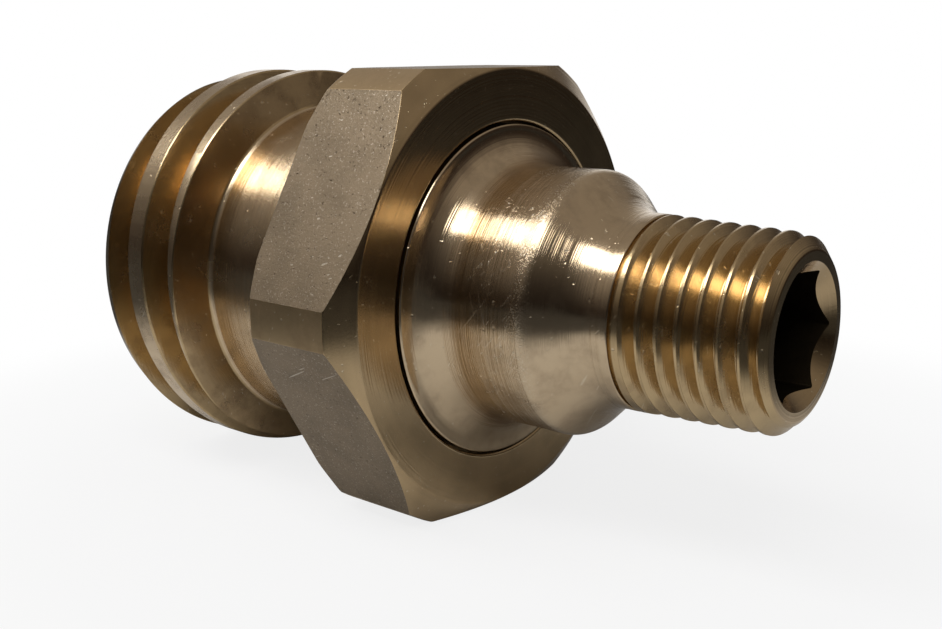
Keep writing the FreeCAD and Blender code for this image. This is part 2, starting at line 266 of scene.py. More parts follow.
class FittingColours(bpy.types.PropertyGroup):
    """The colours of the fitting's metals and seals."""

    drawn: FloatVectorProperty(
        name="Drawn brass", description="Matt brass of the hexagon's flats",
        default=(0.235, 0.182, 0.122), min=0, max=1, size=3, subtype="COLOR")
    turned: FloatVectorProperty(
        name="Turned brass", description="Brass of the turned faces, bores and corners",
        default=(0.52, 0.38, 0.215), min=0, max=1, size=3, subtype="COLOR")
    golden: FloatVectorProperty(
        name="Golden brass", description="Brass of the threads and the valve",
        default=(0.56, 0.415, 0.23), min=0, max=1, size=3, subtype="COLOR")
    polished: FloatVectorProperty(
        name="Polished brass", description="Brass of the flange, barrel, shoulder, neck and crests",
        default=(0.64, 0.50, 0.33), min=0, max=1, size=3, subtype="COLOR")
    tarnish: FloatVectorProperty(
        name="Tarnish", description="Darker brown film in blotches and pits",
        default=(0.16, 0.10, 0.06), min=0, max=1, size=3, subtype="COLOR")
    rubber: FloatVectorProperty(
        name="Seal rubber", description="Rubber of both seals",
        default=(0.02, 0.02, 0.022), min=0, max=1, size=3, subtype="COLOR")
    steel: FloatVectorProperty(
        name="Spring steel", description="Wire of the valve spring",
        default=(0.55, 0.55, 0.54), min=0, max=1, size=3, subtype="COLOR")


class StudioLevels(bpy.types.PropertyGroup):
    """The light levels of the stage."""

    softbox: FloatProperty(
        name="Softbox", description="Brightness of the softbox", default=6.2, min=0, max=20)
    ambient: FloatProperty(
        name="Ambient", description="Brightness of the surroundings on matt surfaces",
        default=0.45, min=0, max=2)


# Shapes

def place(station, radius):
    """A point at a station and a radius, on the axis's -Y side."""
    return Vector((FRONT_FACE + station, -radius, AXIS_HEIGHT))


def station_and_radius(point):
    """The station and the radius of a point."""
    return point.x - FRONT_FACE, math.hypot(point.y, point.z - AXIS_HEIGHT)


class Outline:
    """A closed outline drawn in the plane of the axis, then spun into a solid."""

    def __init__(self, station, radius, softness=0):
        self.mesh = bmesh.new()
        self.corners = [self.mesh.verts.new(place(station, radius))]
        self.soft = {}
        self.soften(softness)

    def soften(self, softness):
        """Notes that the last corner is to be rounded."""
        if softness:
            self.soft.setdefault(softness, []).append(self.corners[-1])

    def to(self, station, radius, softness=0):
        """Draws a straight run to a station and a radius."""
        move = place(station, radius) - self.corners[-1].co
        made = bmesh.ops.extrude_vert_indiv(self.mesh, verts=[self.corners[-1]])
        bmesh.ops.translate(self.mesh, verts=made["verts"], vec=move)
        self.corners += made["verts"]
        self.soften(softness)

    def arc(self, station, radius, degrees, steps):
        """Draws an arc about a centre, turning from the axis direction outwards."""
        for _ in range(steps):
            made = bmesh.ops.spin(
                self.mesh, geom=[self.corners[-1]], cent=place(station, radius), axis=(0, 0, -1),
                angle=math.radians(degrees / steps), steps=1)
            self.corners += [part for part in made["geom_last"] if isinstance(part, bmesh.types.BMVert)]

    def face(self):
        """Closes the outline into a face, with its noted corners rounded."""
        self.mesh.faces.new(self.corners)
        for softness, corners in self.soft.items():
            bmesh.ops.bevel(
                self.mesh, geom=corners, offset=softness, offset_type="OFFSET", segments=3,
                profile=0.5, affect="VERTICES", material=-1)
        return self.mesh

    def spun(self, steps=AROUND):
        """The closed surface that the outline leaves when it is spun about the axis."""
        mesh = self.face()
        inside = mesh.faces[:]
        bmesh.ops.spin(
            mesh, geom=mesh.verts[:] + mesh.edges[:], cent=place(0, 0), axis=AXIS,
            angle=2 * math.pi, steps=steps, use_merge=True)
        bmesh.ops.delete(mesh, geom=inside, context="FACES_ONLY")
        return tidied(mesh)


def tidied(mesh):
    """Merges doubles and turns every face outwards."""
    bmesh.ops.remove_doubles(mesh, verts=mesh.verts[:], dist=TIDY)
    bmesh.ops.recalc_face_normals(mesh, faces=mesh.faces[:])
    return mesh


def groove_outline(station, root, crest, half_width, flank_angle, beyond, easing):
    """A thread groove's outline with its centre at a station, easing out at the crest."""
    flank = math.tan(math.radians(flank_angle))
    foot = half_width - (crest - root) * flank
    side = [(half_width - easing * flank, crest - easing)]
    side += [(half_width + easing * out, crest + easing * up) for out, up in EASING_CORNERS]
    side.append((side[-1][0], crest + beyond))
    pen = Outline(station - foot, root)
    pen.to(station + foot, root)
    for across, radius in side:
        pen.to(station + across, radius)
    for across, radius in reversed(side):
        pen.to(station - across, radius)
    return pen.face()


def wind(mesh, section, pitch, turns, steps, lift=0.0):
    """Winds a section about the axis as a right-handed helix, lifting it outwards step by step."""
    for step in range(steps):
        made = bmesh.ops.spin(
            mesh, geom=section, cent=place(0, 0), axis=AXIS, dvec=AXIS * pitch * turns / steps,
            angle=2 * math.pi * turns / steps, steps=1)
        section = made["geom_last"]
        for corner in section:
            if lift and isinstance(corner, bmesh.types.BMVert):
                out = Vector((0, corner.co.y, corner.co.z - AXIS_HEIGHT)).normalized()
                corner.co += out * lift / steps


def piece_from(mesh, name):
    """Makes an object of a bmesh and adds it to the scene."""
    data = bpy.data.meshes.new(name)
    mesh.to_mesh(data)
    mesh.free()
    piece = bpy.data.objects.new(name, data)
    bpy.context.scene.collection.objects.link(piece)
    return piece


def carve(piece, cutter):
    """Takes a cutter's shape out of a piece, makes sure that a piece is left, and removes the cutter."""
    cut = piece.modifiers.new("cut", "BOOLEAN")
    cut.operation = "DIFFERENCE"
    cut.solver = "EXACT"
    cut.object = cutter
    bpy.context.view_layer.update()
    shape = piece.evaluated_get(bpy.context.evaluated_depsgraph_get())
    data = bpy.data.meshes.new_from_object(shape)
    piece.modifiers.clear()
    piece.data = data
    if len(data.polygons) < AROUND:
        raise RuntimeError(f"{cutter.name} left no {piece.name}")
    bpy.data.objects.remove(cutter)


def finish_zones(piece, zone_of, finishes):
    """Gives each face the finish of its zone, and smooth shading with sharp edges."""
    names = list(finishes)
    piece.data.materials.clear()
    for name in names:
        piece.data.materials.append(finishes[name])
    for face in piece.data.polygons:
        station, radius = station_and_radius(face.center)
        face.material_index = names.index(zone_of(station, radius, face.normal, face.center))
    piece.data.shade_smooth()
    piece.data.set_sharp_from_angle(angle=math.radians(SHARP_EDGE))
    even = piece.modifiers.new("even", "WEIGHTED_NORMAL")
    even.keep_sharp = True
    even.weight = FACE_WEIGHT


def hexagonal_cutter(across_flats, start, end, rounding):
    """A hexagonal bar along the axis, with corners towards +Y and -Y and its long edges rounded."""
    mesh = bmesh.new()
    corner = across_flats / math.sqrt(3)
    bmesh.ops.create_cone(
        mesh, cap_ends=True, segments=6, radius1=corner, radius2=corner, depth=end - start,
        matrix=Matrix.Translation(place((start + end) / 2, 0)) @ Matrix.Rotation(math.pi / 2, 4, "Y"))
    if min(abs(vert.co.y) for vert in mesh.verts) < TIDY:
        bmesh.ops.rotate(
            mesh, verts=mesh.verts[:], cent=place(0, 0), matrix=Matrix.Rotation(math.pi / 6, 3, "X"))
    long_edges = [
        edge for edge in mesh.edges
        if abs((edge.verts[0].co - edge.verts[1].co).x) > (end - start) / 2]
    bmesh.ops.bevel(
        mesh, geom=long_edges, offset=rounding, offset_type="OFFSET", segments=3, profile=0.5,
        affect="EDGES", material=-1)
    return tidied(mesh)


# Finishes

class Wire:
    """One socket of a node tree, used in sums as a number is."""

    def __init__(self, finish, socket):
        self.finish = finish
        self.socket = socket

    def sum(self, operation, *values):
        """The result of a Math node with an operation on values."""
        return self.finish.node("Math", {"operation": operation}, dict(enumerate(values)))

    def __add__(self, other):
        return self.sum("ADD", self, other)

    def __radd__(self, other):
        return self.sum("ADD", other, self)

    def __sub__(self, other):
        return self.sum("SUBTRACT", self, other)

    def __rsub__(self, other):
        return self.sum("SUBTRACT", other, self)

    def __mul__(self, other):
        return self.sum("MULTIPLY", self, other)

    def __rmul__(self, other):
        return self.sum("MULTIPLY", other, self)


class Finish:
    """A node tree under construction."""

    # A Mix node's colour sockets, which share their names with its other sockets
    FACTOR, FIRST, SECOND = 0, 6, 7
    BLENDED = 2

    def __init__(self, owner):
        owner.use_nodes = True
        self.tree = owner.node_tree
        self.tree.nodes.clear()

    def node(self, kind, settings=None, values=None, output=0):
        """Adds a node of a kind, sets its settings, fills its sockets and returns one output."""
        made = self.tree.nodes.new("ShaderNode" + kind)
        for setting, value in (settings or {}).items():
            setattr(made, setting, value)
        for socket, value in (values or {}).items():
            if isinstance(value, Wire):
                self.tree.links.new(value.socket, made.inputs[socket])
            else:
                made.inputs[socket].default_value = value
        return Wire(self, made.outputs[output]) if made.outputs else None

    def colour(self, value):
        """A colour with full alpha."""
        return value if isinstance(value, Wire) else (*value, 1)

    def blend(self, factor, first, second):
        """A colour between two, by a factor."""
        return self.node(
            "Mix", {"data_type": "RGBA", "clamp_factor": True},
            {self.FACTOR: factor, self.FIRST: self.colour(first), self.SECOND: self.colour(second)},
            self.BLENDED)

    def mask(self, value, low, high):
        """A smooth step of a value from low to high."""
        return self.node(
            "MapRange", {"interpolation_type": "SMOOTHSTEP"},
            {"Value": value, "From Min": low, "From Max": high})

    def noise(self, where, scale, detail=2.0, roughness=0.5):
        """Noise at a place, about 0.5."""
        return self.node(
            "TexNoise", None, {"Vector": where, "Scale": scale, "Detail": detail, "Roughness": roughness})

    def lines(self, distance, scale, detail):
        """Noise that changes with one distance only, about 0.5."""
        return self.node(
            "TexNoise", {"noise_dimensions": "1D"}, {"W": distance, "Scale": scale, "Detail": detail})

    def length(self, where):
        """The distance of a place from the origin."""
        return self.node("VectorMath", {"operation": "LENGTH"}, {0: where}, "Value")

    def facing(self, where, way):
        """How far a direction points a way, from -1 to 1."""
        return self.node("VectorMath", {"operation": "DOT_PRODUCT"}, {0: where, 1: way}, "Value")

    def stretched(self, where, scale, turn=(0, 0, 0)):
        """A place turned, then scaled along each axis."""
        turned = self.node("Mapping", None, {"Vector": where, "Rotation": turn})
        return self.node("Mapping", None, {"Vector": turned, "Scale": scale})

    def scratches(self, where, turn, spacing, amount):
        """Short thin lines that run one way."""
        scale = (SCRATCH_LENGTHWISE, spacing, spacing)
        lines = self.noise(self.stretched(where, scale, turn), scale=1.0, detail=1.0)
        return self.mask(lines, 1 - amount, 1 + SCRATCH_SOFTNESS - amount)

    def bump(self, height):
        """A normal bumped by a height in millimetres."""
        return self.node("Bump", None, {"Height": height, "Distance": MM, "Strength": 1.0})


def surface(name, build, metallic=1.0, centre=(FRONT_FACE, 0, AXIS_HEIGHT)):
    """A material; build gives its colour, roughness and normal at a place in millimetres."""
    material = bpy.data.materials.new(name)
    finish = Finish(material)
    where = finish.node("TexCoord", output="Object")
    mm = finish.node(
        "Mapping", None,
        {"Vector": where, "Scale": (1 / MM,) * 3, "Location": [-part / MM for part in centre]})
    colour, roughness, normal = build(finish, mm)
    shader = finish.node("BsdfPrincipled", None, {
        "Base Color": finish.colour(colour), "Metallic": metallic, "Roughness": roughness,
        "Normal": normal})
    finish.node("OutputMaterial", None, {"Surface": shader})
    return material


def dimmed(colour, share):
    """A colour at a share of its brightness."""
    return [part * share for part in colour]


def around_axis(finish, mm):
    """The distance from the axis, in millimetres."""
    return finish.length(finish.node("VectorMath", {"operation": "MULTIPLY"}, {0: mm, 1: (0, 1, 1)}))


def drawn_brass(finish, mm):
    """Matt, grainy flats with faint drawing lines, pits, specks and a few bright scratches."""
    colours = bpy.context.scene.fitting_colours
    grain = finish.noise(mm, scale=9.0, detail=3.0, roughness=0.7)
    lines = finish.noise(finish.stretched(mm, (0.3, 6.0, 6.0)), scale=1.0)
    tool = finish.noise(finish.stretched(mm, (5.0, 0.4, 0.4)), scale=1.0)
    cloud = finish.noise(mm, scale=0.35, detail=3.0)
    specks = finish.mask(finish.noise(mm, scale=6.0, detail=3.0, roughness=0.7), 0.56, 0.72)
    pits = finish.mask(finish.noise(mm, scale=3.4, detail=3.0, roughness=0.7), 0.60, 0.72)
    cuts = finish.scratches(mm, turn=(0.5, 0.3, 0.35), spacing=4.0, amount=0.25)
    colour = finish.blend(finish.mask(cloud, 0.35, 0.7), colours.drawn, dimmed(colours.drawn, 0.8))
    colour = finish.blend(finish.mask(grain, 0.35, 0.65) * 0.25, colour, dimmed(colours.drawn, 1.6))
    colour = finish.blend(specks * 0.30, colour, SPECK)
    colour = finish.blend(pits * 0.8, colour, dimmed(colours.tarnish, 0.5))
    colour = finish.blend(cuts * 0.35, colour, FLAT_SCRATCH)
    roughness = 0.42 + grain * 0.16 - specks * 0.08 - cuts * 0.12
    height = grain * 0.012 + lines * 0.004 + tool * 0.006 - pits * 0.02 - cuts * 0.006
    return colour, roughness, finish.bump(height)


def turned_face_brass(finish, mm):
    """Turned end faces and chamfers, with fine rings about the axis and a few scratches."""
    colours = bpy.context.scene.fitting_colours
    radius = around_axis(finish, mm)
    rings = finish.lines(radius, scale=5.0, detail=4.0)
    broad = finish.lines(radius, scale=0.9, detail=2.0)
    cloud = finish.noise(mm, scale=0.22, detail=3.0)
    grain = finish.noise(mm, scale=6.0, detail=3.0)
    cuts = finish.scratches(mm, turn=(0.9, 0.0, 0.2), spacing=3.5, amount=0.28)
    colour = finish.blend(finish.mask(cloud, 0.3, 0.7), colours.turned, dimmed(colours.turned, 0.8))
    colour = finish.blend(finish.mask(broad, 0.55, 0.75) * 0.25, colour, colours.golden)
    colour = finish.blend(cuts * 0.35, colour, FACE_SCRATCH)
    roughness = 0.12 + grain * 0.08 + cloud * 0.05
    height = rings * 0.010 + grain * 0.0016 - cuts * 0.005
    return colour, roughness, finish.bump(height)


def turned_side(base, rough, line, blotch, spread=0.02, crease=None):
    """A turned surface's finish, with blotches of tarnish on a base colour. The heights of its
    tool lines, and of the fine lines that spread highlights out along the axis, are in
    millimetres, and so is the station of a crease, where the surface is worn and scratched."""
    def build(finish, mm):
        colours = bpy.context.scene.fitting_colours
        colour = getattr(colours, base)
        along = finish.node("SeparateXYZ", None, {"Vector": mm}, "X")
        fine = finish.lines(along, scale=16.0, detail=1.0)
        marks = finish.noise(finish.stretched(mm, (6.0, 0.25, 0.25)), scale=1.0, detail=3.0)
        cloud = finish.noise(mm, scale=0.45, detail=4.0, roughness=0.6)
        grain = finish.noise(mm, scale=8.0)
        cuts = finish.scratches(mm, turn=(0.2, 0.9, 0.5), spacing=3.0, amount=0.27)
        nicks = finish.mask(finish.noise(mm, scale=1.7, detail=1.0), 0.74, 0.78)
        shade = finish.blend(finish.mask(cloud, 0.4, 0.72) * blotch, colour, colours.tarnish)
        shade = finish.blend((cuts + nicks) * 0.3, shade, SIDE_SCRATCH)
        roughness = rough + marks * 0.06 + finish.mask(cloud, 0.45, 0.7) * 0.10
        height = fine * spread + marks * line + grain * line * 0.25 - cuts * 0.004 - nicks * 0.01
        if crease is not None:
            # Worn at the crease, and scratched crosswise on the flange's side of it
            offset = along - crease
            near = 1 - finish.mask(offset.sum("ABSOLUTE", offset), 0.1, 1.1)
            beside = 1 - finish.mask(offset.sum("ABSOLUTE", offset + 2.2), 1.2, 3.0)
            rubbed = finish.mask(finish.noise(mm, scale=9.0, detail=3.0, roughness=0.7), 0.48, 0.66)
            crossed = (
                finish.scratches(mm, turn=(1.2, 0.4, 0.8), spacing=5.0, amount=0.33)
                + finish.scratches(mm, turn=(0.3, 1.9, 0.2), spacing=5.0, amount=0.33))
            worn = near * rubbed * 0.5 + beside * crossed * 0.3
            shade = finish.blend(worn * 0.7, shade, WORN_CREASE)
            roughness = roughness + worn * 0.22
            height = height + worn * 0.008
        return shade, roughness, finish.bump(height)
    return build


def bore_brass_painted_shade(share):
    """Dull brass inside a bore, dimmed to a share of the turned brass's brightness as painted shade of
    the recess.
    """
    def build(finish, mm):
        marks = finish.noise(finish.stretched(mm, (5.0, 0.3, 0.3)), scale=1.0)
        cloud = finish.noise(mm, scale=0.6, detail=3.0)
        light = dimmed(bpy.context.scene.fitting_colours.turned, share)
        colour = finish.blend(finish.mask(cloud, 0.3, 0.7), light, dimmed(light, 0.6))
        return colour, 0.36 + cloud * 0.15, finish.bump(marks * 0.008)
    return build


def spring_steel(finish, mm):
    """Drawn wire, with a faint film."""
    grain = finish.noise(mm, scale=6.0)
    film = finish.noise(mm, scale=0.9)
    steel = bpy.context.scene.fitting_colours.steel
    colour = finish.blend(finish.mask(film, 0.4, 0.7) * 0.4, steel, WIRE_FILM)
    return colour, 0.25 + grain * 0.12, finish.bump(grain * 0.003)


def seal_rubber(finish, mm):
    """Matt black rubber with a fine bloom."""
    bloom = finish.noise(mm, scale=2.0, detail=3.0)
    grain = finish.noise(mm, scale=9.0)
    rubber = bpy.context.scene.fitting_colours.rubber
    colour = finish.blend(finish.mask(bloom, 0.45, 0.75) * 0.5, rubber, RUBBER_BLOOM)
    return colour, 0.5 + grain * 0.2, finish.bump(grain * 0.006)


# Operators

class FITTING_OT_stage(bpy.types.Operator):
    """Sets up the camera, the floor, the softbox and the surroundings"""

    bl_idname = "fitting.stage"
    bl_label = "Stage and camera"

    def execute(self, context):
        self.camera(context)
        self.floor()
        self.softbox(context)
        self.surroundings(context)
        context.scene.view_settings.view_transform = "Standard"
        return {"FINISHED"}

    def camera(self, context):
        """A camera above the -Y side, in front of the end connector."""
        azimuth = math.radians(CAMERA_AZIMUTH)
        elevation = math.radians(CAMERA_ELEVATION)
        back = Vector((
            math.sin(azimuth) * math.cos(elevation),
            -math.cos(azimuth) * math.cos(elevation),
            math.sin(elevation)))
        data = bpy.data.cameras.new("camera")
        data.sensor_width = SENSOR_WIDTH
        data.lens = FOCAL_LENGTH / FRAME_WIDTH * SENSOR_WIDTH
        data.clip_start = CAMERA_NEAREST
        data.clip_end = CAMERA_FARTHEST
        camera = bpy.data.objects.new("camera", data)
        camera.rotation_mode = "QUATERNION"
        camera.location = place(0, 0) + Vector(CAMERA_PLACE) * MM
        aim = (-back).to_track_quat("-Z", "Y")
        camera.rotation_quaternion = aim @ Quaternion((0, 0, 1), math.radians(CAMERA_ROLL))
        context.scene.collection.objects.link(camera)
        context.scene.camera = camera

    def floor(self):
        """A round floor that is white to the camera, a little less so where the fitting shades it."""
        mesh = bmesh.new()
        bmesh.ops.create_circle(mesh, cap_ends=True, segments=AROUND_FLOOR, radius=FLOOR_RADIUS)
        floor = piece_from(mesh, "floor")
        material = bpy.data.materials.new("pale_floor")
        finish = Finish(material)
        away = finish.length(finish.node("TexCoord", output="Object"))
        seen = finish.node("LightPath", output="Is Camera Ray")
        sheet = finish.blend(finish.mask(away, *FLOOR_FADE), FLOOR_NEAR, FLOOR_FAR)
        matt = finish.node("BsdfDiffuse", None, {"Color": sheet})
        white = finish.node("Emission", None, {"Color": finish.colour(WHITE), "Strength": 1.0})
        gain = 1 - FLOOR_WHITE_NEAR
        fade = (FLOOR_WHITE_NEAR + finish.mask(away, *FLOOR_WHITE_FADE) * gain) * seen
        shader = finish.node("MixShader", None, {0: fade, 1: matt, 2: white})
        finish.node("OutputMaterial", None, {"Surface": shader})
        floor.data.materials.append(material)

    def softbox(self, context):
        """A long strip light above the -Y side, parallel to the fitting's axis."""
        data = bpy.data.lights.new("softbox", "AREA")
        data.shape = "RECTANGLE"
        data.size, data.size_y = SOFTBOX_LENGTH, SOFTBOX_WIDTH
        data.energy = context.scene.fitting_levels.softbox * math.pi * data.size * data.size_y
        light = bpy.data.objects.new("softbox", data)
        away = Matrix.Rotation(-math.radians(SOFTBOX_ELEVATION), 3, "X") @ Vector((0, -1, 0))
        light.location = place(SOFTBOX_STATION, 0) + away * SOFTBOX_DISTANCE
        light.rotation_mode = "QUATERNION"
        light.rotation_quaternion = Matrix((AXIS, away.cross(AXIS), away)).transposed().to_quaternion()
        context.scene.collection.objects.link(light)

    def surroundings(self, context):
        """A room that is dark below and towards the camera, with a white backdrop behind the fitting."""
        world = bpy.data.worlds.new("studio")
        context.scene.world = world
        finish = Finish(world)
        way = finish.node("TexCoord", output="Generated")
        height = finish.node("SeparateXYZ", None, {"Vector": way}, "Z")
        towards = finish.facing(way, TOWARDS_CAMERA)
        behind = finish.facing(way, [-part for part in TOWARDS_CAMERA])
        front = finish.mask(towards, *ROOM_FRONT_EDGE) * ROOM_FRONT_SHARE
        room = finish.blend(finish.mask(height, *ROOM_RISE), ROOM_LOW, ROOM_HIGH)
        room = finish.blend(front, room, ROOM_FRONT)
        studio = finish.blend(finish.mask(behind, *BACKDROP_EDGE), room, WHITE)
        seen = finish.node("LightPath", output="Is Camera Ray")
        shiny = finish.node("LightPath", output="Is Glossy Ray")
        through = finish.node("LightPath", output="Is Transmission Ray")
        matt = (context.scene.fitting_levels.ambient,) * 3
        colour = finish.blend(shiny, matt, studio)
        colour = finish.blend(seen + through, colour, WHITE)
        light = finish.node("Background", None, {"Color": colour, "Strength": 1.0})
        finish.node("OutputWorld", None, {"Surface": light})


class FITTING_OT_body(bpy.types.Operator):
    """Makes the hexagon, neck and coarse thread, with their bores"""

    bl_idname = "fitting.body"
    bl_label = "Fitting body"

    def execute(self, context):
        sizes = context.scene.fitting_sizes
        mesh = self.blank(sizes)
        self.flatten(mesh, sizes)
        piece = piece_from(mesh, "fitting_shell")
        carve(piece, piece_from(self.groove(sizes), "coarse_groove"))
        finish_zones(piece, self.zone, {
            "drawn": surface("drawn_brass", drawn_brass),
            "faced": surface("faced_brass", turned_face_brass),
            "neck": surface("neck_brass", turned_side(
                "polished", rough=0.16, line=0.003, blotch=0.25, spread=0.014)),
            "corner": surface("corner_brass", turned_side(
                "turned", rough=0.34, line=0.006, blotch=0.35, spread=0.004)),
            "thread": surface("thread_brass", turned_side(
                "golden", rough=0.16, line=0.002, blotch=0.35, spread=0.005)),
            "crest": surface("crest_brass", turned_side(
                "polished", rough=0.22, line=0.003, blotch=0.5, spread=0.004)),
            # The thread's last flank by the neck takes darker turned brass in place of golden: painted
            # shade for the dark neck that it reflects
            "flank": surface("flank_brass_painted_shade", turned_side(
                "turned", rough=0.16, line=0.001, blotch=0.5, spread=0.001)),
            # The bores' brass is dimmed a little: painted shade inside them
            "bore": surface("bore_brass_painted_shade", bore_brass_painted_shade(0.8)),
        })
        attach(piece, "fitting")
        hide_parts("fitting_body")
        return {"FINISHED"}

    def blank(self, sizes):
        """The turned blank, with a crown where the coarse thread comes and all its bores."""
        soft = sizes.softness
        mouth_end = MOUTH_FACE + MOUTH_DEPTH
        bore = SHANK + SHANK_CLEARANCE
        pen = Outline(0, FRONT_HOLE + soft, soft)
        pen.to(0, HEX_FRONT_RING, soft)
        pen.to(-HEX_FRONT_CHAMFER, HEX_CORNER, soft)
        pen.to(HEX_BACK + HEX_BACK_CHAMFER, HEX_CORNER, soft)
        pen.to(HEX_BACK, HEX_BACK_RING, soft)
        pen.to(HEX_BACK, sizes.neck_radius, 2 * soft)
        pen.to(SHOULDER_FOOT, sizes.neck_radius, 3 * soft)
        pen.to(SHOULDER_FOOT - THREAD_SHOULDER, sizes.thread_radius, soft)
        pen.to(MOUTH_FACE + THREAD_END_CHAMFER, sizes.thread_radius, soft)
        pen.to(MOUTH_FACE, sizes.thread_radius - THREAD_END_CHAMFER_DEPTH, 2 * soft)
        pen.to(MOUTH_FACE, sizes.mouth_radius + MOUTH_CHAMFER, soft)
        pen.to(MOUTH_FACE + MOUTH_CHAMFER, sizes.mouth_radius, soft)
        pen.to(mouth_end, sizes.mouth_radius)
        pen.to(mouth_end, THROAT, soft)
        pen.to(mouth_end + THROAT_LENGTH, THROAT, soft)
        pen.to(mouth_end + THROAT_LENGTH + SEAT_LENGTH, CHAMBER, soft)
        pen.to(GUIDE_FRONT, CHAMBER, soft)
        pen.to(GUIDE_FRONT, GUIDE_POCKET)
        pen.to(SHANK_END, GUIDE_POCKET)
        pen.to(SHANK_END, bore)
        pen.to(SEAL_BACK, bore)
        pen.to(SEAL_BACK, SEAL_BORE)
        pen.to(FLANGE_SEAT, SEAL_BORE)
        pen.to(FLANGE_SEAT, FRONT_HOLE)
        pen.to(-soft, FRONT_HOLE, soft / 2)
        return pen.spun()

    def flatten(self, mesh, sizes):
        """Mills the six flats and softens their edges."""
        for side in range(6):
            way = Matrix.Rotation(side * math.pi / 3, 3, "X") @ Vector((0, 0, 1))
            cut = bmesh.ops.bisect_plane(
                mesh, geom=mesh.verts[:] + mesh.edges[:] + mesh.faces[:], dist=TIDY / 10,
                plane_co=place(0, 0) + way * sizes.across_flats / 2, plane_no=way, clear_outer=True)
            rim = [part for part in cut["geom_cut"] if isinstance(part, bmesh.types.BMEdge)]
            bmesh.ops.edgeloop_fill(mesh, edges=rim)
        tidied(mesh)
        edges = [
            edge for edge in mesh.edges
            if len(edge.link_faces) == 2 and edge.calc_face_angle() > math.radians(FLAT_EDGE)
            and any(len(face.verts) > AROUND / 8 for face in edge.link_faces)]
        bmesh.ops.bevel(
            mesh, geom=edges, offset=sizes.softness * FLAT_SOFTNESS, offset_type="OFFSET", segments=2,
            profile=0.5, affect="EDGES", material=-1, clamp_overlap=True)

    def groove(self, sizes):
        """The coarse thread's groove, from beyond the mouth until it runs out over the neck."""
        crest = sizes.thread_radius
        root = crest - sizes.groove_depth
        pitch = sizes.thread_pitch
        start = MOUTH_FACE + THREAD_GROOVE_FROM_END - 2 * pitch
        turns = (SHOULDER_FOOT + sizes.groove_width - start) / pitch
        mesh = groove_outline(
            start, root, crest, sizes.groove_width / 2, THREAD_FLANK_ANGLE, CLEAR, THREAD_EASING)
        section = mesh.verts[:] + mesh.edges[:] + mesh.faces[:]
        wind(mesh, section, pitch, turns, round(THREAD_STEPS * turns))
        bmesh.ops.triangulate(mesh, faces=mesh.faces[:])
        return tidied(mesh)

    @staticmethod
    def zone(station, radius, normal, centre):
        """The finish of a face of the body."""
        if station < MOUTH_FACE + HAIR:
            return "faced"
        if station < -HOLE_RIM and radius < BORE_REACH:
            return "bore"
        if station > -HOLE_RIM and radius < FRONT_HOLE + HAIR and normal.x < 0.2:
            return "bore"
        if station < SHOULDER_FOOT + THREAD_REACH:
            # This flank's darker brass is painted shade, for the dark neck that it reflects
            if normal.x > 0.9 and station > SHOULDER_FOOT - END_FLANK_REACH:
                return "flank"
            return "crest" if radius > BODY_CREST and abs(normal.x) < 0.3 else "thread"
        if station < HEX_BACK - HAIR:
            return "neck"
        if abs(normal.x) > 0.25:
            return "faced"
        side = math.degrees(math.atan2(centre.z - AXIS_HEIGHT, centre.y))
        off_corner = abs((side + 30) % 60 - 30)
        return "corner" if radius > HEX_CORNER - CORNER_REACH and off_corner < CORNER_ANGLE else "drawn"


